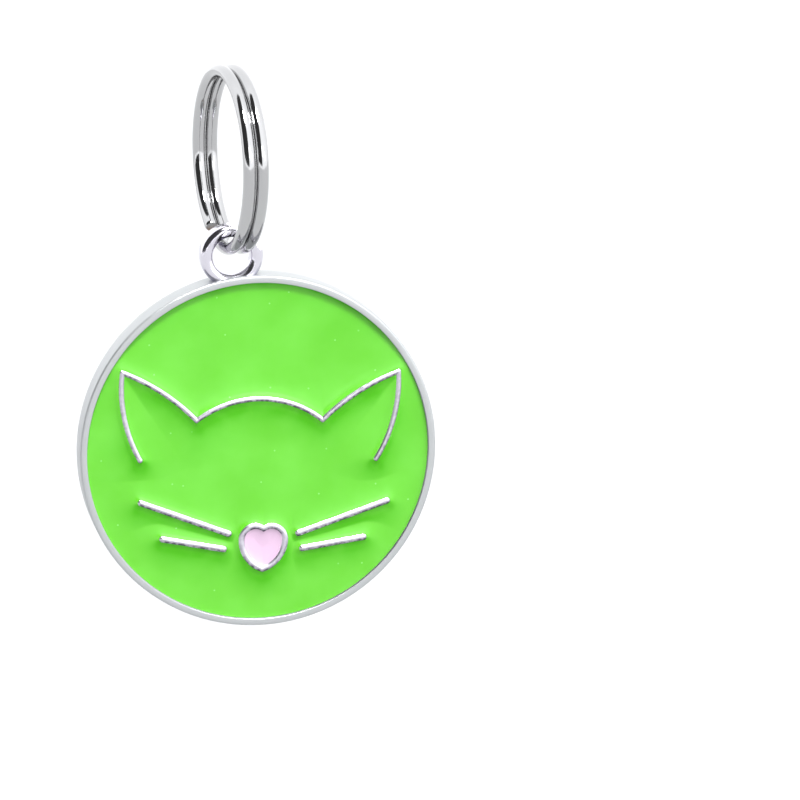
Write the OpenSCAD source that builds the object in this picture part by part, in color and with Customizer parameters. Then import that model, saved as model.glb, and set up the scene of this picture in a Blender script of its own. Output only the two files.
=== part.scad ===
// Round pet tag: a plated metal disc with a cast eye, coloured enamel round a line
// drawing of a cat's face, and the split ring that carries it.
// The disc hangs upright with its front towards -Y, and +Z is up.
// The origin is the hang point, on the inside of the split ring at its top.

/* [Disc] */
// Diameter of the disc
disc_d = 25; // [20:0.5:40]
// Thickness of the disc
disc_t = 2.2; // [1.8:0.1:4]
// Width of the bare rim round the enamel
rim_w = 0.5; // [0.3:0.05:1.5]
// Rounding of the disc's outer edges
edge_r = 0.15; // [0.05:0.05:0.4]
// Depth of the pocket that holds the enamel
pocket_depth = 0.7; // [0.5:0.05:1.2]
// Drop from the rim down to the enamel
enamel_drop = 0.2; // [0.1:0.05:0.3]

/* [Eye] */
// Slack round the two turns of the split ring in the eye's hole
eye_slack = 0.41; // [0.25:0.01:1]
// Thickness of the eye's metal from its hole to its outside
eye_wall = 0.9; // [0.6:0.05:1.5]
// How far the eye stands back from each face of the disc
eye_inset = 0.35; // [0.1:0.05:0.5]
// Depth that the eye sinks into the disc's edge
eye_sink = 0.74; // [0.4:0.01:0.8]
// Angle of the eye round the disc from its top, to the left seen from the front
eye_turn = 7; // [-20:1:20]

/* [Split ring] */
// Outer diameter of the split ring
ring_d = 13.1; // [11:0.1:30]
// Thickness of the ring's round wire
ring_wire = 0.87; // [0.6:0.01:1.2]
// Gap between the ring's two turns
turn_gap = 0.04; // [0.02:0.01:0.1]
// Turn of the ring about the upright
ring_turn = 8; // [-15:1:15]
// Clearance between the ring and the eye that hangs on it
ring_clearance = 0.15; // [0.05:0.01:0.2]
// Angle over which the wire steps from one turn to the other
step_angle = 22; // [18:1:40]
// Place of the step, from the ring's lowest point round the back
step_place = 18; // [18:1:160]
// Gap between each cut end of the wire and the step beside it
end_gap = 0.2; // [0.15:0.05:0.5]
// How much fuller the wire is where it is bent
bend_swell = 0.05; // [0.03:0.01:0.08]

/* [Face] */
// Width of the raised lines of the head and the ears
line_w = 0.38; // [0.25:0.01:0.6]
// Width of the whiskers
whisker_w = 0.48; // [0.3:0.01:0.8]
// Width of the nose's outline
nose_line_w = 0.5; // [0.3:0.01:0.7]
// Height of the rounded crown on every line
crown_h = 0.14; // [0.05:0.01:0.2]
// Turn of the face on the disc, clockwise seen from the front
face_turn = 2.1; // [-10:0.1:10]
// Shift of the nose and whiskers from the middle of the head
nose_shift = 0.5; // [-1:0.1:1]
// Width of the nose over its outline
nose_w = 3.6; // [2.6:0.1:5]
// Height of the widest part of the nose below the disc's centre
nose_drop = 6.15; // [4:0.05:8]

/* [Hidden] */
$fn = 96;
corner_steps = 6;
// How far a cut runs past a face, or a line runs into the floor
overrun = 0.1;
// How far the round end of a line stands inside the line that it finishes
seam = 0.01;

// Places of the face's lines in the enamel, as shares of the enamel's radius
notch_shares = [0.369, 0.189];
ear_tip_shares = [0.807, 0.475];
ear_foot_shares = [0.6925, -0.045];
head_bulge_share = 0.127;
inner_ear_bulge_share = 0.028;
outer_ear_bulge_share = 0.041;

// Inner and outer end of each whisker, from the middle of the nose, as shares of the enamel's radius
whisker_shares = [
    [[0.206, 0.025], [0.724, 0.214]],
    [[0.232, -0.067], [0.592, -0.004]]
];

// Radius of the nose's lobes and depth of its tip, as shares of its half width
nose_lobe_share = 0.6;
nose_tip_share = 1.4;

// Heights in the disc, from its middle towards the front
front_z = disc_t / 2;
floor_z = front_z - pocket_depth;
enamel_z = front_z - enamel_drop;

disc_r = disc_d / 2;
enamel_r = disc_r - rim_w;

// The two turns side by side, and the eye that takes them
turn_pitch = ring_wire + turn_gap;
turns_w = turn_pitch + ring_wire;
ring_r = (ring_d - ring_wire) / 2;
eye_hole_r = turns_w / 2 + eye_slack;
eye_t = disc_t - 2 * eye_inset;
eye_round = min(eye_wall, eye_t) / 2;
eye_offset = disc_r - eye_sink + eye_wall + eye_hole_r;

// Height of the ring's wire above the middle of the eye's hole when the eye hangs on it
wire_lift = sqrt(pow(eye_hole_r - ring_clearance - ring_wire / 2, 2) - pow(turn_pitch / 2, 2));
ring_z = ring_wire - ring_d / 2;
eye_z = ring_z - ring_r - wire_lift;
disc_place = [eye_offset * sin(eye_turn), 0, eye_z - eye_offset * cos(eye_turn)];

// The step's own arc, which leans from one turn to the other
step_half = step_angle / 2;
step_reach = norm([ring_r * sin(step_half), turn_pitch / 2]);
step_sag = ring_r * (1 - cos(step_half));
step_r = (step_reach * step_reach + step_sag * step_sag) / (2 * step_sag);
step_lean = atan2(turn_pitch / 2, ring_r * sin(step_half));
step_sweep = asin(step_reach / step_r);
bend_d = ring_wire + bend_swell;
// The arcs stop this far short of each bend, inside the bend's own round knuckle
bend_gap = ring_wire * tan(step_lean / 2) / 2 + bend_swell / 4;
end_gap_angle = end_gap / (PI * ring_r) * 180;
bend_gap_angle = bend_gap / (PI * ring_r) * 180;
turn_sweep = 360 - step_angle - end_gap_angle - bend_gap_angle;
step_arc_sweep = 2 * step_sweep - 2 * bend_gap / (PI * step_r) * 180;

// The nose is a heart: two lobes and two flanks that leave the lobes at their widest points
nose_half = (nose_w - nose_line_w) / 2;
lobe_r = nose_half * nose_lobe_share;
lobe_x = nose_half - lobe_r;
nose_tip = nose_half * nose_tip_share;
flank_r = lobe_r + (lobe_x * lobe_x + nose_tip * nose_tip - lobe_r * lobe_r) / (2 * nose_half);
flank_x = flank_r - nose_half;

// Puts what is drawn flat, with its front up, on the hanging disc
module on_disc() {
    translate(disc_place) rotate([90, 0, 0]) children();
}

module on_face() {
    rotate(-face_turn) children();
}

module on_nose() {
    translate([nose_shift, -nose_drop, 0]) children();
}

module both_sides() {
    for (side = [0, 1]) mirror([side, 0, 0]) children();
}

module rounded_box(w, h, r) {
    polygon([
        for (corner = [[1, 1], [-1, 1], [-1, -1], [1, -1]], i = [0:corner_steps])
            let (start = atan2(corner.y, corner.x) - 45, angle = start + 90 * i / corner_steps)
                [corner.x * (w / 2 - r) + r * cos(angle), corner.y * (h / 2 - r) + r * sin(angle)]
    ]);
}

// Section of a raised line: upright sides and a rounded crown, or a plain slot to cut with
module line_section(w, slot, top = front_z) {
    crown_r = (w * w / 4 + crown_h * crown_h) / (2 * crown_h);
    if (slot) {
        translate([-w / 2, floor_z - overrun]) square([w, pocket_depth + 2 * overrun]);
    } else {
        intersection() {
            union() {
                translate([0, top - crown_r]) circle(crown_r);
                translate([-w / 2, floor_z - overrun]) square([w, top - crown_r - floor_z + overrun]);
            }
            translate([-w / 2, floor_z - overrun]) square([w, pocket_depth + 2 * overrun]);
        }
    }
}

// Round end of a line, and the round corner where two lines meet
module line_post(place, w, slot) {
    translate(place) rotate_extrude() intersection() {
        line_section(w - 2 * seam, slot, front_z - seam);
        translate([0, floor_z - overrun]) square([w, pocket_depth + 2 * overrun]);
    }
}

module line_turn(centre, r, start, sweep, w, slot) {
    translate(centre) rotate(start) rotate_extrude(angle = sweep)
        translate([r, 0]) line_section(w, slot);
}

// Line along an arc from one point to another, which bulges to the left of the way there
module arc_line(from, to, bulge, w, slot) {
    chord = norm(to - from);
    r = (chord * chord / 4 + bulge * bulge) / (2 * bulge);
    half_sweep = asin(chord / 2 / r);
    left = [from.y - to.y, to.x - from.x] / chord;
    centre = (from + to) / 2 + left * (bulge - r);
    line_turn(centre, r, atan2(left.y, left.x) - half_sweep, 2 * half_sweep, w, slot);
}

module straight_line(from, to, w, slot) {
    way = to - from;
    translate(from) rotate(atan2(way.y, way.x)) rotate([90, 0, 90])
        linear_extrude(norm(way)) line_section(w, slot);
    line_post(from, w, slot);
    line_post(to, w, slot);
}

module head_lines(slot) {
    notch = enamel_r * notch_shares;
    ear_tip = enamel_r * ear_tip_shares;
    ear_foot = enamel_r * ear_foot_shares;
    arc_line([-notch.x, notch.y], notch, enamel_r * head_bulge_share, line_w, slot);
    both_sides() {
        arc_line(notch, ear_tip, enamel_r * inner_ear_bulge_share, line_w, slot);
        arc_line(ear_tip, ear_foot, enamel_r * outer_ear_bulge_share, line_w, slot);
        for (place = [notch, ear_tip, ear_foot]) line_post(place, line_w, slot);
    }
}

module whisker_lines(slot) {
    for (ends = whisker_shares)
        both_sides() straight_line(enamel_r * ends[0], enamel_r * ends[1], whisker_w, slot);
}

module nose_line() {
    notch_angle = acos(-lobe_x / lobe_r);
    tip_angle = acos(flank_x / flank_r);
    lobe_gap = seam / (PI * lobe_r) * 180;
    flank_gap = seam / (PI * flank_r) * 180;
    both_sides() {
        line_turn([lobe_x, 0], lobe_r, lobe_gap, notch_angle - lobe_gap, nose_line_w, false);
        line_turn([-flank_x, 0], flank_r, -tip_angle, tip_angle - flank_gap, nose_line_w, false);
        line_post([nose_half, 0], nose_line_w, false);
    }
    line_post([0, lobe_r * sin(notch_angle)], nose_line_w, false);
    line_post([0, -nose_tip], nose_line_w, false);
}

// Outline of the nose, grown or shrunk from the middle of its line
module nose_area(grow) {
    for (x = [-lobe_x, lobe_x]) translate([x, 0]) circle(lobe_r + grow);
    intersection() {
        translate([-flank_x, 0]) circle(flank_r + grow);
        translate([flank_x, 0]) circle(flank_r + grow);
        translate([-nose_w, -nose_w]) square([2 * nose_w, nose_w]);
    }
}

module eye() {
    translate([-eye_offset * sin(eye_turn), eye_offset * cos(eye_turn), 0])
        rotate_extrude() translate([eye_hole_r + eye_wall / 2, 0])
            rounded_box(eye_wall, eye_t, eye_round);
}

module disc_blank() {
    rotate_extrude() intersection() {
        rounded_box(disc_d, disc_t, edge_r);
        translate([0, -disc_t / 2]) square([disc_r, disc_t]);
    }
}

module pocket() {
    translate([0, 0, floor_z]) cylinder(r = enamel_r, h = pocket_depth + overrun);
}

module tag_body() {
    color("silver") on_disc() {
        difference() {
            union() {
                disc_blank();
                eye();
            }
            pocket();
        }
        on_face() {
            head_lines(false);
            on_nose() {
                whisker_lines(false);
                nose_line();
            }
        }
    }
}

module green_enamel() {
    color("yellowgreen") on_disc() difference() {
        translate([0, 0, floor_z]) cylinder(r = enamel_r, h = enamel_z - floor_z);
        on_face() {
            head_lines(true);
            on_nose() {
                whisker_lines(true);
                translate([0, 0, floor_z - overrun]) linear_extrude(pocket_depth)
                    nose_area(nose_line_w / 2);
            }
        }
    }
}

module pink_enamel() {
    color("pink") on_disc() on_face() on_nose()
        translate([0, 0, floor_z]) linear_extrude(enamel_z - floor_z) nose_area(-nose_line_w / 2);
}

// One wire in two turns side by side, drawn about its own axis from its lowest point
module split_ring() {
    color("gainsboro") translate([0, 0, ring_z]) rotate([0, 90, ring_turn]) rotate(step_place) {
        for (side = [-1, 1]) {
            start_gap = side < 0 ? end_gap_angle : bend_gap_angle;
            rotate(step_half + start_gap) rotate_extrude(angle = turn_sweep)
                translate([ring_r, side * turn_pitch / 2]) circle(d = ring_wire);
            rotate(side * step_half) translate([ring_r, 0, side * turn_pitch / 2])
                sphere(d = bend_d);
        }
        translate([ring_r - step_r, 0, 0]) rotate([step_lean, 0, 0]) rotate(-step_arc_sweep / 2)
            rotate_extrude(angle = step_arc_sweep) translate([step_r, 0]) circle(d = ring_wire);
    }
}

tag_body();
green_enamel();
pink_enamel();
split_ring();
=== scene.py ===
import bmesh
import bpy
import math
from mathutils import Matrix, Vector


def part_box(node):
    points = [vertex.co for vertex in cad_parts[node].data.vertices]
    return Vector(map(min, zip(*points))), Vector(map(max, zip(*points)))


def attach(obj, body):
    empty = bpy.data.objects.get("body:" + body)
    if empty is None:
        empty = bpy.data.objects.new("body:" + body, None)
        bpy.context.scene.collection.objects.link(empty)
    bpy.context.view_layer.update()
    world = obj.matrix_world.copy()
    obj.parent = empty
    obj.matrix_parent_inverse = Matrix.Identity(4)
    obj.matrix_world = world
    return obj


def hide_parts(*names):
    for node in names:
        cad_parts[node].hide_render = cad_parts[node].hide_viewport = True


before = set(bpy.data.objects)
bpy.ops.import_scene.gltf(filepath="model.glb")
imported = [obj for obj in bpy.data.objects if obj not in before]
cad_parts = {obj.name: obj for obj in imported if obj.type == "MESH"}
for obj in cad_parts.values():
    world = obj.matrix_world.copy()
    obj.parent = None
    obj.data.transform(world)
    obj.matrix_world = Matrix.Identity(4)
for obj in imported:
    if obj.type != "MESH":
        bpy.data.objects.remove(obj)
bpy.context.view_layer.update()        # sizes below are millimetres, and each piece's place turns them into metres
mm = 0.001
scene = bpy.context.scene


def spin(degrees, axis):
    return Matrix.Rotation(math.radians(degrees), 4, axis)


# the way from here to what stands at this azimuth and elevation, in radians
def wayTo(azimuth, elevation):
    flat = math.cos(elevation)
    return Vector((math.sin(azimuth) * flat, -math.cos(azimuth) * flat, math.sin(elevation)))


# where the disc hangs, with its front towards -Y
tagLow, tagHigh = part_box("tag_body")
discRadius = (tagHigh.x - tagLow.x) / 2 / mm
discHalf = (tagHigh.y - tagLow.y) / 2 / mm
discSpot = Vector(((tagLow.x + tagHigh.x) / 2, (tagLow.y + tagHigh.y) / 2, tagLow.z + discRadius * mm))
upright = spin(90, "X") @ Matrix.Scale(mm, 4)
onDisc = Matrix.Translation(discSpot) @ upright
onBack = Matrix.Translation(discSpot) @ spin(180, "Z") @ upright


# camera
shot = {
    "lens": 200.0,
    "seenWidth": 55.6,                    # mm across the frame, at the disc
    "azimuth": -9.0, "elevation": 13.8,   # how the disc is seen, in degrees
    "aimRight": 9.79, "aimUp": 3.64,      # mm from the disc's middle to the middle of the frame
    "clipNear": 0.01, "clipFar": 10.0,    # metres
}


def makeCamera():
    data = bpy.data.cameras.new("tagCamera")
    data.lens = shot["lens"]
    data.clip_start = shot["clipNear"]
    data.clip_end = shot["clipFar"]
    away = shot["seenWidth"] * shot["lens"] / data.sensor_width
    azimuth = math.radians(shot["azimuth"]) - math.atan(shot["aimRight"] / away)
    elevation = math.radians(shot["elevation"]) - math.atan(shot["aimUp"] / away)
    back = wayTo(azimuth, elevation)
    turn = back.to_track_quat("Z", "Y")
    right = turn @ Vector((1, 0, 0))
    up = turn @ Vector((0, 1, 0))
    anchor = discSpot - Vector((0, discHalf * mm, 0))
    camera = bpy.data.objects.new("tagCamera", data)
    camera.location = anchor + (right * shot["aimRight"] + up * shot["aimUp"] + back * away) * mm
    camera.rotation_mode = "QUATERNION"
    camera.rotation_quaternion = turn
    scene.collection.objects.link(camera)
    scene.camera = camera


makeCamera()
print("camera set")


# node trees
def addNode(tree, kind, inputs=None, **settings):
    node = tree.nodes.new(kind)
    for name, value in settings.items():
        setattr(node, name, value)
    for name, value in (inputs or {}).items():
        if isinstance(value, bpy.types.NodeSocket):
            tree.links.new(value, node.inputs[name])
        else:
            node.inputs[name].default_value = value
    return node


def calc(tree, operation, first, second=0.0, clamp=False):
    return addNode(tree, "ShaderNodeMath", {0: first, 1: second}, operation=operation,
                   use_clamp=clamp).outputs[0]


def mapped(tree, value, fromLow, fromHigh, toLow=0.0, toHigh=1.0, **settings):
    return addNode(tree, "ShaderNodeMapRange", {"Value": value, "From Min": fromLow, "From Max": fromHigh,
                                                "To Min": toLow, "To Max": toHigh}, **settings).outputs[0]


def partsOf(tree, vector):
    return addNode(tree, "ShaderNodeSeparateXYZ", {0: vector}).outputs


def vectorOf(tree, x=0.0, y=0.0, z=0.0):
    return addNode(tree, "ShaderNodeCombineXYZ", {"X": x, "Y": y, "Z": z}).outputs[0]


def coordinate(tree, kind):
    return addNode(tree, "ShaderNodeTexCoord").outputs[kind]


def positionIn(tree):
    return addNode(tree, "GeometryNodeInputPosition").outputs[0]


# a geometry tree with a number for each of its sizes, and other inputs by their kind
def newTree(name, sizes, **others):
    tree = bpy.data.node_groups.new(name, "GeometryNodeTree")
    tree.interface.new_socket("Geometry", in_out="OUTPUT", socket_type="NodeSocketGeometry")
    kinds = {"Geometry": "Geometry", **dict.fromkeys(sizes, "Float"), **others, "Material": "Material"}
    for label, kind in kinds.items():
        tree.interface.new_socket(label, in_out="INPUT", socket_type="NodeSocket" + kind)
    return tree, tree.nodes.new("NodeGroupInput").outputs


def endTree(tree, geometry, material):
    real = addNode(tree, "GeometryNodeRealizeInstances", {"Geometry": geometry})
    painted = addNode(tree, "GeometryNodeSetMaterial", {"Geometry": real.outputs[0], "Material": material})
    addNode(tree, "NodeGroupOutput", {"Geometry": painted.outputs[0]})


def evenPath(tree, given):
    return addNode(tree, "GeometryNodeResampleCurve", {"Curve": given["Geometry"], "Length": given["Step"]},
                   mode="LENGTH").outputs[0]


def fromNearerEnd(tree):
    gone = addNode(tree, "GeometryNodeSplineParameter").outputs["Length"]
    whole = addNode(tree, "GeometryNodeSplineLength").outputs["Length"]
    return calc(tree, "MINIMUM", gone, calc(tree, "SUBTRACT", whole, gone))


def sweep(tree, path, section, size):
    return addNode(tree, "GeometryNodeCurveToMesh", {"Curve": path, "Profile Curve": section,
                                                     "Scale": size, "Fill Caps": True}).outputs[0]


# meshes
def newObject(name, data):
    made = bpy.data.objects.new(name, data)
    scene.collection.objects.link(made)
    return made


def curveOf(name, lines):
    curve = bpy.data.curves.new(name, "CURVE")
    curve.dimensions = "3D"
    for line in lines:
        spline = curve.splines.new("POLY")
        spline.points.add(len(line) - 1)
        for point, spot in zip(spline.points, line):
            point.co = (*spot, 1)
    return newObject(name, curve)


def meshOf(name, vertices, faces, material):
    mesh = bpy.data.meshes.new(name)
    mesh.from_pydata(vertices, [], faces)
    mesh.materials.append(material)
    return mesh


# a band of faces between every two loops of vertices, closed at both ends
def skinOf(name, loops, material):
    count = len(loops[0])
    faces = [tuple(reversed(range(count)))]
    for low in range(0, (len(loops) - 1) * count, count):
        for i in range(count):
            after = (i + 1) % count
            faces.append((low + i, low + after, low + count + after, low + count + i))
    faces.append(tuple(range((len(loops) - 1) * count, len(loops) * count)))
    return meshOf(name, [spot for loop in loops for spot in loop], faces, material)


# a solid that stands on a flat outline, from one height to another
def prism(outline, low, high, material):
    return skinOf("prism", [[(x, y, z) for x, y in outline] for z in (low, high)], material)


# the mesh of an object as its modifiers leave it
def plainMesh(source):
    bpy.context.view_layer.update()
    return bpy.data.meshes.new_from_object(source.evaluated_get(bpy.context.evaluated_depsgraph_get()))


# the mesh that a tree makes of an object, which is cleared away
def grownMesh(source, tree, values):
    modifier = source.modifiers.new(tree.name, "NODES")
    modifier.node_group = tree
    for item in tree.interface.items_tree:
        if item.in_out == "INPUT" and item.name in values:
            modifier[item.identifier] = values[item.name]
    mesh = plainMesh(source)
    source.modifiers.remove(modifier)
    bpy.data.objects.remove(source)
    return mesh


def cut(target, cutter, operation):
    modifier = target.modifiers.new(operation, "BOOLEAN")
    modifier.operation = operation
    modifier.solver = "EXACT"
    modifier.object = cutter
    modifier.material_mode = "TRANSFER"
    mesh = plainMesh(target)
    target.modifiers.remove(modifier)
    target.data = mesh
    bpy.data.objects.remove(cutter)


def finishPiece(name, mesh, place, body, slotName, *nodes, sharp=30):
    mesh.transform(place)
    mesh.shade_smooth()
    mesh.set_sharp_from_angle(angle=math.radians(sharp))
    piece = newObject(name, mesh)
    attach(piece, body)
    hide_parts(*nodes)
    return piece


# finishes
finish = {
    "noiseLow": 0.3, "noiseHigh": 0.7,    # nearly all of a noise lies between these
    "shadePatchFrom": 0.35, "shadePatchTo": 0.6,    # the noise at which a patch of painted shade on an underside starts and is full
    "shadeCoatLost": 0.85,                     # share of the coat that an underside with painted shade loses, which paints its reflection darker
    "driftDetail": 3.0,                   # finer noise where a colour drifts
}


def newFinish(name, colour, roughness, metallic=0.0, **levels):
    material = bpy.data.materials.new(name)
    material.use_nodes = True
    shader = material.node_tree.nodes["Principled BSDF"]
    shader.inputs["Base Color"].default_value = (*colour, 1)
    shader.inputs["Roughness"].default_value = roughness
    shader.inputs["Metallic"].default_value = metallic
    for level, value in levels.items():
        shader.inputs[level.replace("_", " ")].default_value = value
    return material


def feed(material, socket, value):
    tree = material.node_tree
    tree.links.new(value, tree.nodes["Principled BSDF"].inputs[socket])


def mixed(tree, share, first, second):
    return addNode(tree, "ShaderNodeMix", {"Factor": share, 6: first, 7: second},
                   data_type="RGBA").outputs[2]


# noise on Object coordinates, size in mm
def noiseOn(material, size, detail=2.0):
    tree = material.node_tree
    return addNode(tree, "ShaderNodeTexNoise", {"Vector": coordinate(tree, "Object"),
                                                "Scale": 1 / (size * mm), "Detail": detail}).outputs["Fac"]


def addBump(material, size, height):
    bump = addNode(material.node_tree, "ShaderNodeBump", {"Height": noiseOn(material, size),
                                                          "Distance": height * mm, "Strength": 1.0})
    feed(material, "Normal", bump.outputs[0])


def addRange(material, socket, size, low, high):
    reach = mapped(material.node_tree, noiseOn(material, size), finish["noiseLow"], finish["noiseHigh"],
                   low, high)
    feed(material, socket, reach)


# colour that drifts between two shades, with a sparse speck here and there
def addShades(material, size, darker, lighter, speck, speckGap, speckSize):
    tree = material.node_tree
    drift = mapped(tree, noiseOn(material, size, finish["driftDetail"]), finish["noiseLow"],
                   finish["noiseHigh"])
    shade = mixed(tree, drift, (*darker, 1), (*lighter, 1))
    spot = partsOf(tree, coordinate(tree, "Object"))
    cells = addNode(tree, "ShaderNodeTexVoronoi", {"Vector": vectorOf(tree, spot[0], spot[2]),
                                                   "Scale": 1 / (speckGap * mm)}, voronoi_dimensions="2D")
    isSpeck = calc(tree, "LESS_THAN", cells.outputs["Distance"], speckSize / speckGap)
    feed(material, "Base Color", mixed(tree, isSpeck, shade, (*speck, 1)))


# painted shade: another, darker colour and less coat on what faces down, from one tilt to the next, in patches, so
# that undersides look shaded and reflect less
def addPaintedUnderShade(material, colour, start, full, size, shadePatchLow):
    tree = material.node_tree
    under = mapped(tree, partsOf(tree, coordinate(tree, "Normal"))[2], start, full)
    shadePatch = mapped(tree, noiseOn(material, size), finish["shadePatchFrom"], finish["shadePatchTo"], shadePatchLow)
    share = calc(tree, "MULTIPLY", under, shadePatch)
    sockets = tree.nodes["Principled BSDF"].inputs
    links = sockets["Base Color"].links
    first = links[0].from_socket if links else tuple(sockets["Base Color"].default_value)
    feed(material, "Base Color", mixed(tree, share, first, (*colour, 1)))
    if sockets["Coat Weight"].default_value > 0:
        shadeCoatLoss = calc(tree, "MULTIPLY", share, finish["shadeCoatLost"])
        feed(material, "Coat Weight", calc(tree, "SUBTRACT", 1.0, shadeCoatLoss))


satinPlate = newFinish("satinPlate", (0.475, 0.49, 0.495), 0.46, 1.0)
addRange(satinPlate, "Roughness", size=1.2, low=0.42, high=0.5)
addBump(satinPlate, size=0.09, height=0.0012)

brightPlate = newFinish("brightPlate", (0.70, 0.68, 0.745), 0.12, 1.0)        # the cast eye
addRange(brightPlate, "Roughness", size=0.5, low=0.06, high=0.16)
addBump(brightPlate, size=0.3, height=0.01)
# painted shade: dark lilac on the eye where it faces down, such as the top inside of its hole
addPaintedUnderShade(brightPlate, (0.2, 0.18, 0.3), start=-0.15, full=-0.8, size=0.5, shadePatchLow=0.5)

linePlate = newFinish("linePlate", (0.70, 0.67, 0.745), 0.34, 1.0)            # the raised lines
addRange(linePlate, "Roughness", size=0.3, low=0.28, high=0.4)
addBump(linePlate, size=0.12, height=0.008)
# painted shade: dark flecks on the lower flanks of the raised lines, where they face down
addPaintedUnderShade(linePlate, (0.09, 0.07, 0.11), start=0.15, full=-0.4, size=0.28, shadePatchLow=0.4)

ringSteel = newFinish("ringSteel", (0.48, 0.48, 0.483), 0.08, 1.0)
addRange(ringSteel, "Roughness", size=0.8, low=0.06, high=0.12)

limeEnamel = newFinish("limeEnamel", (0.09, 0.43, 0.012), 0.5, Specular_IOR_Level=0.2, Coat_Weight=1.0,
                       Coat_Roughness=0.18)
addShades(limeEnamel, size=3.0, darker=(0.08, 0.405, 0.005), lighter=(0.098, 0.446, 0.019),
          speck=(0.17, 0.53, 0.1), speckGap=3.9, speckSize=0.06)
# painted shade: deeper green and less coat where the fill slopes down, such as below the lines
addPaintedUnderShade(limeEnamel, (0.048, 0.335, 0.0), start=0.0, full=-0.11, size=1.6, shadePatchLow=0.6)
addBump(limeEnamel, size=1.6, height=0.01)

pinkEnamel = newFinish("pinkEnamel", (0.515, 0.358, 0.488), 0.5, Specular_IOR_Level=0.2, Coat_Weight=1.0,
                       Coat_Roughness=0.18)
addBump(pinkEnamel, size=0.8, height=0.01)

burntMark = newFinish("burntMark", (0.275, 0.105, 0.01), 0.6, Specular_IOR_Level=0.2)
addBump(burntMark, size=0.05, height=0.004)


# tag: the disc with its eye, and what is engraved on its back
tag = {
    "rim": 0.5, "outerEdge": 0.15, "innerEdge": 0.06, "pocketDepth": 0.7,
    "eyeHole": 1.3, "eyeWall": 0.9, "eyeThick": 1.5,
    "eyeFlat": 0.001,                     # what is left of a flat between the eye's round edges
    "around": 360, "cornerSteps": 5, "eyeAround": 128, "eyeSteps": 8,
}
enamelRadius = discRadius - tag["rim"]
floorHeight = discHalf - tag["pocketDepth"]


def roundCorner(x, y, radius, start, sweep, steps):
    angles = [math.radians(start + sweep * i / steps) for i in range(steps + 1)]
    return [(x + radius * math.cos(a), y + radius * math.sin(a)) for a in angles]


def anglesRound(steps):
    return [2 * math.pi * i / steps for i in range(steps)]


def turned(section, around, centre=(0, 0)):
    x, y = centre
    turns = anglesRound(around)
    return [[(x + r * math.cos(a), y + r * math.sin(a), z) for a in turns] for r, z in section]


def discMesh():
    edge, lip, steps = tag["outerEdge"], tag["innerEdge"], tag["cornerSteps"]
    section = roundCorner(discRadius - edge, edge - discHalf, edge, -90, 90, steps)
    section += roundCorner(discRadius - edge, discHalf - edge, edge, 0, 90, steps)
    section += roundCorner(enamelRadius + lip, discHalf - lip, lip, 90, 90, steps)
    section.append((enamelRadius, floorHeight))
    return skinOf("disc", turned(section, tag["around"]), satinPlate)


# the eye is a ring with a rounded section, closed on itself
def eyeMesh():
    wall, thick, around = tag["eyeWall"], tag["eyeThick"], tag["eyeAround"]
    outside = tag["eyeHole"] + wall
    place = (-discSpot.x / mm, (tagHigh.z - discSpot.z) / mm - outside)
    radius = min(wall, thick) / 2 - tag["eyeFlat"]
    middle = tag["eyeHole"] + wall / 2
    reach = wall / 2 - radius
    rise = thick / 2 - radius
    section = []
    for x, y, start in ((reach, rise, 0), (-reach, rise, 90), (-reach, -rise, 180), (reach, -rise, 270)):
        section += roundCorner(middle + x, y, radius, start, 90, tag["eyeSteps"])
    loops = turned(section, around, place)
    faces = []
    for i in range(len(loops)):
        low = i * around
        high = (i + 1) % len(loops) * around
        for j in range(around):
            after = (j + 1) % around
            faces.append((low + j, low + after, high + after, high + j))
    return meshOf("eye", [spot for loop in loops for spot in loop], faces, brightPlate)


engraving = {
    "depth": 0.06, "overrun": 0.1, "weld": 0.0005,
    "number": "567890", "numberHeight": 3.6, "numberSpot": (0.35, 4.75), "numberTilt": 2.3,
    "heavier": 0.045,                     # added to the number's strokes on each side
    "code": "7890 1234567", "codeHeight": 1.7, "codeRadius": 10.9, "codeSpacing": 1.41, "codeTurn": 8.0,
    "codeWeld": 0.001,
    "digitShare": 0.7,                    # height of a digit, as a share of the letter size
    "digitAdvance": 0.477,                # and the width that it takes
}
# toes as middle, half length, half width and lean, and the pad as a smooth loop through a few points
paw = {
    "toes": [(-0.89, -3.17, 0.80, 0.62, 38), (0.09, -1.87, 0.86, 0.62, 20),
             (1.75, -1.63, 0.86, 0.62, -15), (2.97, -2.76, 0.80, 0.62, -28)],
    "pad": [(1.16, -2.97), (2.30, -3.50), (2.90, -4.30), (2.20, -4.82),
            (1.42, -4.74), (0.10, -5.19), (-0.40, -4.78), (0.12, -3.71)],
    "steps": 48,
}


def smoothLoop(points, steps):
    count = len(points)
    loop = []
    for i in range(count):
        before, start, end, after = (Vector(points[(i + j) % count]) for j in (-1, 0, 1, 2))
        slope = end - before
        bend = 2 * before - 5 * start + 4 * end - after
        twist = 3 * start - before - 3 * end + after
        for step in range(steps // count):
            t = step * count / steps
            loop.append(0.5 * (2 * start + slope * t + bend * t ** 2 + twist * t ** 3))
    return loop


def pawMeshes(low, high):
    meshes = []
    for x, y, length, width, lean in paw["toes"]:
        turn = Matrix.Rotation(math.radians(lean), 2)
        toe = [Vector((x, y)) + turn @ Vector((width * math.cos(a), length * math.sin(a)))
               for a in anglesRound(paw["steps"])]
        meshes.append(prism(toe, low, high, burntMark))
    pad = list(reversed(smoothLoop(paw["pad"], paw["steps"])))
    meshes.append(prism(pad, low, high, burntMark))
    return meshes


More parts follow.
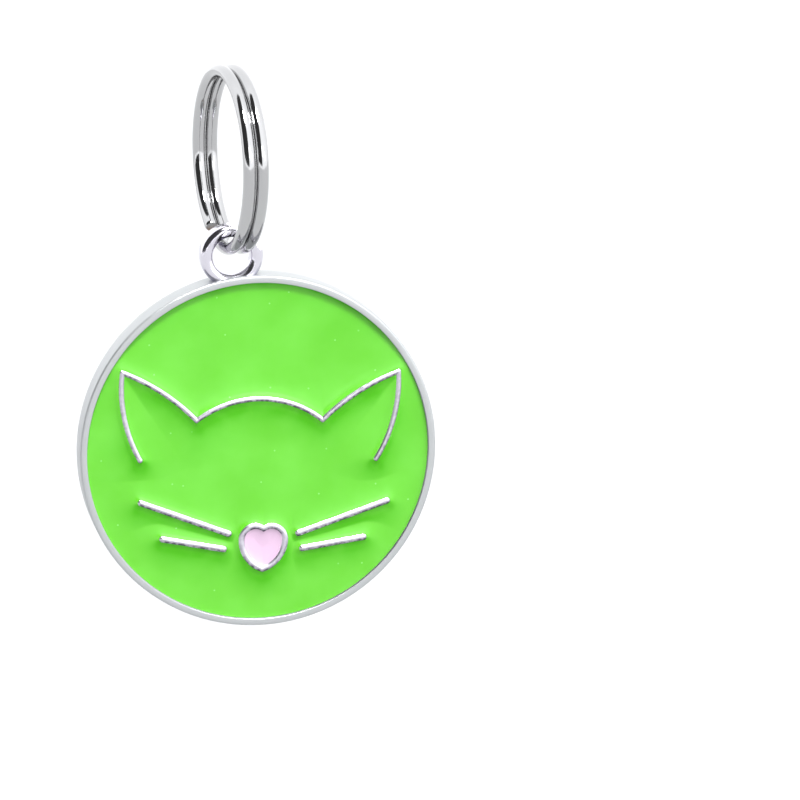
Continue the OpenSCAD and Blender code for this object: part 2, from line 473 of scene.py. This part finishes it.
# digits set round the bottom of the back: each one moves to its angle and turns with it
def codeTree():
    tree, given = newTree("numbersOnArc", ("Letter Size", "Spacing", "Arc Radius", "Turn", "Advance",
                                           "Low", "Depth", "Weld"), Number="String")
    letters = addNode(tree, "GeometryNodeStringToCurves", {"String": given["Number"],
                                                           "Size": given["Letter Size"],
                                                           "Character Spacing": given["Spacing"]},
                      align_x="CENTER")
    half = calc(tree, "MULTIPLY", given["Advance"], 0.5)
    middle = calc(tree, "ADD", partsOf(tree, positionIn(tree))[0], half)
    angle = calc(tree, "ADD", calc(tree, "DIVIDE", middle, given["Arc Radius"]), given["Turn"])
    leant = addNode(tree, "GeometryNodeRotateInstances", {"Instances": letters.outputs["Curve Instances"],
                                                          "Rotation": vectorOf(tree, z=angle)})
    down = calc(tree, "MULTIPLY", given["Arc Radius"], -1.0)
    spot = vectorOf(tree, calc(tree, "MULTIPLY", calc(tree, "SINE", angle), given["Arc Radius"]),
                    calc(tree, "MULTIPLY", calc(tree, "COSINE", angle), down))
    placed = addNode(tree, "GeometryNodeSetPosition", {"Geometry": leant.outputs[0], "Position": spot})
    backHalf = vectorOf(tree, calc(tree, "MULTIPLY", half, -1.0), z=given["Low"])
    centred = addNode(tree, "GeometryNodeTranslateInstances", {"Instances": placed.outputs[0],
                                                               "Translation": backHalf})
    flat = addNode(tree, "GeometryNodeFillCurve", {"Curve": centred.outputs[0]}, mode="NGONS")
    grown = addNode(tree, "GeometryNodeExtrudeMesh", {"Mesh": flat.outputs[0], "Individual": False,
                                                      "Offset Scale": given["Depth"]})
    under = addNode(tree, "GeometryNodeFlipFaces", {"Mesh": flat.outputs[0]})
    whole = addNode(tree, "GeometryNodeJoinGeometry")
    for part in (grown, under):
        tree.links.new(part.outputs[0], whole.inputs[0])
    real = addNode(tree, "GeometryNodeRealizeInstances", {"Geometry": whole.outputs[0]})
    closed = addNode(tree, "GeometryNodeMergeByDistance", {"Geometry": real.outputs[0],
                                                           "Distance": given["Weld"]})
    endTree(tree, closed.outputs[0], given["Material"])
    return tree


def codeMesh(low, high):
    size = engraving["codeHeight"] / engraving["digitShare"]
    return grownMesh(newObject("code", bpy.data.meshes.new("code")), codeTree(), {
        "Number": engraving["code"], "Letter Size": size, "Spacing": engraving["codeSpacing"],
        "Arc Radius": engraving["codeRadius"], "Turn": math.radians(engraving["codeTurn"]),
        "Advance": size * engraving["digitAdvance"], "Low": low, "Depth": high - low,
        "Weld": engraving["codeWeld"], "Material": burntMark})


def numberMesh(low, high):
    letters = bpy.data.curves.new("number", "FONT")
    letters.body = engraving["number"]
    letters.size = engraving["numberHeight"] / engraving["digitShare"]
    letters.offset = engraving["heavier"]
    letters.extrude = (high - low) / 2
    letters.align_x = "CENTER"
    letters.align_y = "CENTER"
    holder = newObject("number", letters)
    mesh = plainMesh(holder)
    bpy.data.objects.remove(holder)
    middle = (*engraving["numberSpot"], (low + high) / 2)
    mesh.transform(Matrix.Translation(middle) @ spin(engraving["numberTilt"], "Z"))
    mesh.materials.clear()
    mesh.materials.append(burntMark)
    return mesh


# several meshes of one finish, as one object
def joined(name, meshes):
    made = bmesh.new()
    for mesh in meshes:
        made.from_mesh(mesh)
    bmesh.ops.remove_doubles(made, verts=made.verts, dist=engraving["weld"])
    for side in made.faces:
        side.material_index = 0
    whole = bpy.data.meshes.new(name)
    made.to_mesh(whole)
    made.free()
    whole.materials.append(meshes[0].materials[0])
    return newObject(name, whole)


def makeTag():
    disc = newObject("disc", discMesh())
    cut(disc, newObject("eye", eyeMesh()), "UNION")
    low = discHalf - engraving["depth"]
    high = discHalf + engraving["overrun"]
    cutter = joined("engraving", pawMeshes(low, high) + [codeMesh(low, high), numberMesh(low, high)])
    cutter.data.transform(onDisc.inverted() @ onBack)
    cut(disc, cutter, "DIFFERENCE")
    mesh = disc.data
    bpy.data.objects.remove(disc)
    finishPiece("tag_disc", mesh, onDisc, "tag", "plated_metal", "tag_body")


makeTag()
print("tag disc made")


# face: the raised lines, drawn on the disc, with places and bulges as shares of the enamel's radius
face = {
    "notch": (0.369, 0.189), "earTip": (0.807, 0.475), "earFoot": (0.6925, -0.045),
    "headBulge": 0.127, "innerEarBulge": 0.028, "outerEarBulge": 0.041,
    "whiskers": [((0.206, 0.037), (0.724, 0.226)), ((0.232, -0.055), (0.592, 0.008))],
    "turn": -2.1, "lineWidth": 0.44, "whiskerWidth": 0.53, "noseLineWidth": 0.52,
    "noseShift": 0.5, "noseDrop": 6.29, "noseWidth": 3.6,
    "lobeShare": 0.63, "tipShare": 1.38,  # a lobe's radius and the tip's depth, as shares of noseHalf
    "crown": 0.22, "keel": 0.48,          # how far a line stands above its path and reaches below it
    "uneven": 0.12, "unevenScale": 1.4,   # how much its size wavers, and how often in a mm
    "step": 0.04, "sides": 16, "endSize": 0.06, "arcStep": 0.1,
}
linePivot = discHalf - face["crown"]
onFace = spin(face["turn"], "Z")
noseSpot = Vector((face["noseShift"], -face["noseDrop"]))
noseHalf = (face["noseWidth"] - face["noseLineWidth"]) / 2
lobeRadius = noseHalf * face["lobeShare"]
lobeOut = noseHalf - lobeRadius
tipDrop = noseHalf * face["tipShare"]
flankRadius = lobeRadius + (lobeOut ** 2 + tipDrop ** 2 - lobeRadius ** 2) / (2 * noseHalf)
flankOut = flankRadius - noseHalf


def arcRound(centre, radius, start, end):
    steps = max(4, round(abs(end - start) * radius / face["arcStep"]))
    angles = [start + (end - start) * i / steps for i in range(steps + 1)]
    return [Vector(centre) + radius * Vector((math.cos(a), math.sin(a))) for a in angles]


# an arc between two points, which bulges to the left of the way there
def arcBetween(start, end, bulge):
    start, end = Vector(start) * enamelRadius, Vector(end) * enamelRadius
    chord, bulge = (end - start).length, bulge * enamelRadius
    radius = (chord ** 2 / 4 + bulge ** 2) / (2 * bulge)
    left = Vector((start.y - end.y, end.x - start.x)).normalized()
    middle, half = math.atan2(left.y, left.x), math.asin(chord / 2 / radius)
    return arcRound((start + end) / 2 + left * (bulge - radius), radius, middle + half, middle - half)


# both ends run on by half a width, so that the round ends meet in a round corner
def runOn(line, width):
    first = (line[0] - line[1]).normalized()
    last = (line[-1] - line[-2]).normalized()
    return [line[0] + first * width / 2, *line, line[-1] + last * width / 2]


def mirrored(line):
    return [Vector((-spot.x, spot.y)) for spot in line]


def halfNose(grow=0.0):
    notch = math.acos(-lobeOut / (lobeRadius + grow))
    tip = math.acos(flankOut / (flankRadius + grow))
    lobe = arcRound((lobeOut, 0), lobeRadius + grow, notch, 0)
    return lobe + arcRound((-flankOut, 0), flankRadius + grow, 0, -tip)[1:]


def lineTree():
    tree, given = newTree("raisedLine", ("Width", "Crown", "Keel", "Step", "End Size", "Uneven",
                                         "Uneven Scale", "Seed"), Sides="Int")
    level = addNode(tree, "GeometryNodeSetCurveNormal", {"Curve": evenPath(tree, given)}, mode="Z_UP")
    ring = addNode(tree, "GeometryNodeCurvePrimitiveCircle", {"Resolution": given["Sides"], "Radius": 1.0})
    flat = partsOf(tree, positionIn(tree))
    isTop = addNode(tree, "FunctionNodeCompare", {0: flat[1], 1: 0.0}, operation="GREATER_THAN")
    height = addNode(tree, "GeometryNodeSwitch", {"Switch": isTop.outputs[0], "False": given["Keel"],
                                                  "True": given["Crown"]}, input_type="FLOAT")
    half = calc(tree, "MULTIPLY", given["Width"], 0.5)
    shaped = vectorOf(tree, calc(tree, "MULTIPLY", flat[0], calc(tree, "MULTIPLY", given["Width"], -0.5)),
                      calc(tree, "MULTIPLY", flat[1], calc(tree, "MULTIPLY", height.outputs[0], -1.0)))
    section = addNode(tree, "GeometryNodeSetPosition", {"Geometry": ring.outputs[0], "Position": shaped})
    short = calc(tree, "SUBTRACT", 1.0, calc(tree, "DIVIDE", fromNearerEnd(tree), half, clamp=True))
    roundEnd = calc(tree, "SQRT", calc(tree, "SUBTRACT", 1.0, calc(tree, "MULTIPLY", short, short)))
    shifted = addNode(tree, "ShaderNodeVectorMath", {0: positionIn(tree), 1: given["Seed"]},
                      operation="ADD")
    noise = addNode(tree, "ShaderNodeTexNoise", {"Vector": shifted.outputs[0], "Detail": 3.0,
                                                 "Scale": given["Uneven Scale"]})
    wave = calc(tree, "MULTIPLY", calc(tree, "SUBTRACT", noise.outputs[0], 0.5), given["Uneven"])
    wavy = calc(tree, "MULTIPLY", roundEnd, calc(tree, "ADD", wave, 1.0))
    size = calc(tree, "MAXIMUM", wavy, given["End Size"])
    endTree(tree, sweep(tree, level.outputs[0], section.outputs[0], size), given["Material"])
    return tree


raisedLine = lineTree()


def makeLines(name, lines, width, seed, shift=Vector((0, 0))):
    strokes = [[(*(spot + shift), linePivot) for spot in runOn(line, width)] for line in lines]
    mesh = grownMesh(curveOf(name, strokes), raisedLine, {
        "Width": width, "Crown": face["crown"], "Keel": face["keel"], "Step": face["step"],
        "Sides": face["sides"], "End Size": face["endSize"], "Uneven": face["uneven"],
        "Uneven Scale": face["unevenScale"], "Seed": seed, "Material": linePlate})
    finishPiece(name, mesh, onDisc @ onFace, "tag", "plated_metal", "tag_body", sharp=60)


notch, earTip, earFoot = face["notch"], face["earTip"], face["earFoot"]
ear = [arcBetween(notch, earTip, face["innerEarBulge"]), arcBetween(earTip, earFoot, face["outerEarBulge"])]
head = [arcBetween((-notch[0], notch[1]), notch, face["headBulge"]), *ear, *map(mirrored, ear)]
whiskers = [[Vector(end) * enamelRadius for end in ends] for ends in face["whiskers"]]
whiskers += [mirrored(line) for line in whiskers]
nose = [halfNose(), mirrored(halfNose())]
makeLines("head_lines", head, face["lineWidth"], 1.0)
makeLines("whisker_lines", whiskers, face["whiskerWidth"], 2.0, noseSpot)
makeLines("nose_line", nose, face["noseLineWidth"], 3.0, noseSpot)
print("face lines made")


# enamel: two fills that creep up the lines and the rim as they set
enamel = {
    "drop": 0.34, "clearance": 0.004, "overrun": 0.2,
    "wave": 0.05, "waveSize": 4.0,
    "rise": 0.05, "reach": 0.12,          # the steep foot of the creep, and how far it reaches
    "swell": 0.2, "spread": 0.85,         # the shallow slope beyond it
    "rimShare": 0.3,                      # the creep at the rim, as a share of the creep at a line
    "topSlack": 0.01,                     # what lies this little below the top still counts as top
    "limeRings": 110, "limeAround": 460, "pinkRings": 24,
    "pinkDrop": 0.3,                      # from the lobes' middles down to where the pink's rings meet
}
enamelHeight = discHalf - enamel["drop"]


# the top is a grid of rings that shrink towards the middle, so that it can bend
def fillMesh(name, outline, middle, rings, material):
    middle = Vector(middle)
    loops = [[(*spot, floorHeight) for spot in outline]]
    for ring in range(rings):
        share = 1 - ring / rings
        loops.append([(*(middle + (spot - middle) * share), enamelHeight) for spot in outline])
    return skinOf(name, loops, material)


# both halves of the nose as one loop, wider by grow on every side
def heartOutline(grow=0.0):
    half = halfNose(grow)
    loop = half + list(reversed(mirrored(half)))[1:-1]
    return [noseSpot + spot for spot in reversed(loop)]


def fillTree():
    tree, given = newTree("creepingFill", ("Line Width", "Rim Radius", "Rise", "Reach", "Swell", "Spread",
                                           "Rim Share", "Level", "Slack", "Pivot", "Wave", "Wave Size"),
                          Lines="Object")
    drawn = addNode(tree, "GeometryNodeObjectInfo", {"Object": given["Lines"]}, transform_space="ORIGINAL")
    edges = addNode(tree, "GeometryNodeCurveToMesh", {"Curve": drawn.outputs["Geometry"]})
    here = positionIn(tree)
    flat = partsOf(tree, here)
    level = vectorOf(tree, flat[0], flat[1], given["Pivot"])
    near = addNode(tree, "GeometryNodeProximity", {"Geometry": edges.outputs[0], "Sample Position": level},
                   target_element="EDGES")
    halfWidth = calc(tree, "MULTIPLY", given["Line Width"], 0.5)
    fromLine = calc(tree, "SUBTRACT", near.outputs["Distance"], halfWidth)
    outwards = addNode(tree, "ShaderNodeVectorMath", {0: vectorOf(tree, flat[0], flat[1])},
                       operation="LENGTH")
    fromRim = calc(tree, "SUBTRACT", given["Rim Radius"], outwards.outputs["Value"])
    lift = 0.0
    for gap, part in ((fromLine, 1.0), (fromRim, given["Rim Share"])):
        for height, reach in (("Rise", "Reach"), ("Swell", "Spread")):
            ratio = calc(tree, "DIVIDE", calc(tree, "MAXIMUM", gap, 0.0), given[reach])
            creep = calc(tree, "EXPONENT", calc(tree, "MULTIPLY", ratio, -1.0))
            full = calc(tree, "MULTIPLY", given[height], part)
            lift = calc(tree, "ADD", calc(tree, "MULTIPLY", creep, full), lift)
    lift = calc(tree, "MINIMUM", lift, calc(tree, "ADD", given["Rise"], given["Swell"]))
    scale = calc(tree, "DIVIDE", 1.0, given["Wave Size"])
    noise = addNode(tree, "ShaderNodeTexNoise", {"Vector": here, "Scale": scale, "Detail": 1.0})
    wave = calc(tree, "MULTIPLY", calc(tree, "SUBTRACT", noise.outputs[0], 0.5), given["Wave"])
    isTop = addNode(tree, "FunctionNodeCompare", {
        0: flat[2], 1: calc(tree, "SUBTRACT", given["Level"], given["Slack"])}, operation="GREATER_THAN")
    moved = addNode(tree, "GeometryNodeSetPosition", {
        "Geometry": given["Geometry"], "Selection": isTop.outputs[0],
        "Offset": vectorOf(tree, z=calc(tree, "ADD", lift, wave))})
    endTree(tree, moved.outputs[0], given["Material"])
    return tree


def makeEnamel():
    edge = enamelRadius - enamel["clearance"]
    circle = [Vector((edge * math.cos(a), edge * math.sin(a))) for a in anglesRound(enamel["limeAround"])]
    inside = heartOutline(-face["noseLineWidth"] / 4)
    lime = newObject("lime", fillMesh("lime", circle, (0, 0), enamel["limeRings"], limeEnamel))
    heart = prism(heartOutline(), floorHeight - enamel["overrun"], discHalf + enamel["overrun"], limeEnamel)
    cut(lime, newObject("heart", heart), "DIFFERENCE")
    pinkMiddle = noseSpot - Vector((0, enamel["pinkDrop"]))
    pink = newObject("pink", fillMesh("pink", inside, pinkMiddle, enamel["pinkRings"], pinkEnamel))
    atNose = [[spot + noseSpot for spot in line] for line in whiskers + nose]
    lines = curveOf("lines", [[(*spot, linePivot) for spot in line] for line in head + atNose])
    tree = fillTree()
    for source, name, node, material in ((lime, "green_fill", "green_enamel", limeEnamel),
                                         (pink, "pink_fill", "pink_enamel", pinkEnamel)):
        mesh = grownMesh(source, tree, {
            "Lines": lines, "Line Width": face["lineWidth"], "Rim Radius": enamelRadius,
            "Rise": enamel["rise"], "Reach": enamel["reach"], "Swell": enamel["swell"],
            "Spread": enamel["spread"], "Rim Share": enamel["rimShare"], "Level": enamelHeight,
            "Slack": enamel["topSlack"], "Pivot": linePivot, "Wave": enamel["wave"],
            "Wave Size": enamel["waveSize"], "Material": material})
        piece = finishPiece(name, mesh, onDisc @ onFace, "tag", node, node, sharp=50)
        piece.visible_glossy = False      # the chrome stays grey beside it
    bpy.data.objects.remove(lines)


makeEnamel()
print("enamel filled")


# split ring: one wire, wound in two turns that step over once
ringLow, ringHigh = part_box("split_ring")
ring = {
    "wire": ringHigh.z / mm, "outside": (ringHigh.z - ringLow.z) / mm, "turnGap": 0.04,
    "turn": 8.0, "stepPlace": 18.0, "stepAngle": 22.0,   # degrees
    "endGap": 0.2, "endRound": 0.08, "endSize": 0.86,
    "sides": 32, "step": 0.12, "pathSteps": 720,
}


def ringTree():
    tree, given = newTree("woundWire", ("Wire", "Step", "End Round", "End Size"), Sides="Int")
    section = addNode(tree, "GeometryNodeCurvePrimitiveCircle", {
        "Resolution": given["Sides"], "Radius": calc(tree, "MULTIPLY", given["Wire"], 0.5)})
    near = calc(tree, "DIVIDE", fromNearerEnd(tree), given["End Round"], clamp=True)
    size = mapped(tree, near, 0.0, 1.0, given["End Size"], 1.0, interpolation_type="SMOOTHSTEP")
    endTree(tree, sweep(tree, evenPath(tree, given), section.outputs[0], size), given["Material"])
    return tree


def makeRing():
    radius = (ring["outside"] - ring["wire"]) / 2
    pitch = ring["wire"] + ring["turnGap"]
    half = ring["stepAngle"] / 2
    gap = math.degrees(ring["endGap"] / radius)
    start = half + gap - 360
    end = 360 - half - gap
    path = []
    for i in range(ring["pathSteps"] + 1):
        angle = start + (end - start) * i / ring["pathSteps"]
        share = min(max((angle + half) / (2 * half), 0), 1)
        side = pitch * (share * share * (3 - 2 * share) - 0.5)
        turn = math.radians(angle)
        path.append((radius * math.cos(turn), radius * math.sin(turn), side))
    place = (Matrix.Translation((0, 0, (ring["wire"] - ring["outside"] / 2) * mm)) @ spin(ring["turn"], "Z")
             @ spin(90, "Y") @ spin(ring["stepPlace"], "Z") @ Matrix.Scale(mm, 4))
    mesh = grownMesh(curveOf("wire", [path]), ringTree(), {
        "Wire": ring["wire"], "Sides": ring["sides"], "Step": ring["step"], "End Round": ring["endRound"],
        "End Size": ring["endSize"], "Material": ringSteel})
    piece = finishPiece("ring_wire", mesh, place, "ring", "polished_steel", "split_ring", sharp=40)
    piece.visible_shadow = False          # the enamel under it stays clean


makeRing()
print("split ring wound")


# floor and light
studio = {
    "floorDrop": 75.0, "floorHalf": 1200.0, "paper": 0.84, "paperRoughness": 0.8,
    "boxes": [  # name, azimuth, elevation, distance, width, height, fan in degrees, brightness
        ("keyBox", 8, 62, 420, 200, 100, 30, 7.6),
        ("frontBox", 12, 20, 420, 260, 90, 60, 0.8),
        ("lowBox", 42, 12, 420, 60, 60, 60, 1.5),
    ],
    "air": 1.95, "behind": 0.81,          # brightness of the white air, and its share behind the tag
    "dimFrom": -0.4, "dimTo": 0.5,        # how far back it starts to dim, and where it has that share
    "airColour": (0.97, 0.98, 1.0),
    "cardFrom": -100, "cardTo": -2, "cardSoft": 5,       # the dark card at the left, in degrees
    "cardDepth": 0.97,                    # share of the air's light that it takes away
}


# white air with a dark card that runs from the horizon up overhead, which the chrome shows as streaks
def makeAir():
    world = bpy.data.worlds.new("studioAir")
    world.use_nodes = True
    tree = world.node_tree
    way = partsOf(tree, coordinate(tree, "Generated"))
    towards = calc(tree, "MULTIPLY", way[1], -1.0)
    azimuth = calc(tree, "DEGREES", calc(tree, "ARCTAN2", way[0], towards))
    fromLeft = calc(tree, "SUBTRACT", azimuth, studio["cardFrom"])
    fromRight = calc(tree, "SUBTRACT", studio["cardTo"], azimuth)
    fromEdge = calc(tree, "MINIMUM", fromLeft, fromRight)
    inside = calc(tree, "DIVIDE", fromEdge, studio["cardSoft"], clamp=True)
    card = calc(tree, "MULTIPLY", inside, calc(tree, "GREATER_THAN", way[2], 0.0))
    uncovered = calc(tree, "SUBTRACT", 1.0, calc(tree, "MULTIPLY", card, studio["cardDepth"]))
    dimmed = mapped(tree, way[1], studio["dimFrom"], studio["dimTo"], studio["air"],
                    studio["air"] * studio["behind"])
    direct = addNode(tree, "ShaderNodeLightPath").outputs["Is Camera Ray"]
    shown = calc(tree, "MAXIMUM", calc(tree, "MULTIPLY", uncovered, dimmed), direct)
    back = tree.nodes["Background"]
    back.inputs["Color"].default_value = (*studio["airColour"], 1)
    tree.links.new(shown, back.inputs["Strength"])
    scene.world = world


def makeFloor():
    half = studio["floorHalf"] * mm
    height = -studio["floorDrop"] * mm
    corners = [(-half, -half, height), (half, -half, height), (half, half, height), (-half, half, height)]
    paper = newFinish("palePaper", (studio["paper"],) * 3, studio["paperRoughness"])
    floor = newObject("floor", meshOf("floor", corners, [(0, 1, 2, 3)], paper))
    return floor


# soft boxes that light the tag and not the paper
def makeBoxes(floor):
    unlit = bpy.data.collections.new("unlitByBoxes")
    unlit.objects.link(floor)
    unlit.collection_objects[0].light_linking.link_state = "EXCLUDE"
    for name, azimuth, elevation, away, width, height, fan, bright in studio["boxes"]:
        back = wayTo(math.radians(azimuth), math.radians(elevation))
        light = bpy.data.lights.new(name, "AREA")
        light.shape = "RECTANGLE"
        light.size = width * mm
        light.size_y = height * mm
        light.energy = bright * width * height * mm ** 2
        light.spread = math.radians(fan)
        lamp = newObject(name, light)
        lamp.location = discSpot + back * away * mm
        lamp.rotation_mode = "QUATERNION"
        lamp.rotation_quaternion = back.to_track_quat("Z", "Y")
        lamp.visible_camera = False
        lamp.light_linking.receiver_collection = unlit


makeAir()
makeBoxes(makeFloor())
scene.view_settings.view_transform = "Standard"
print("studio lit")
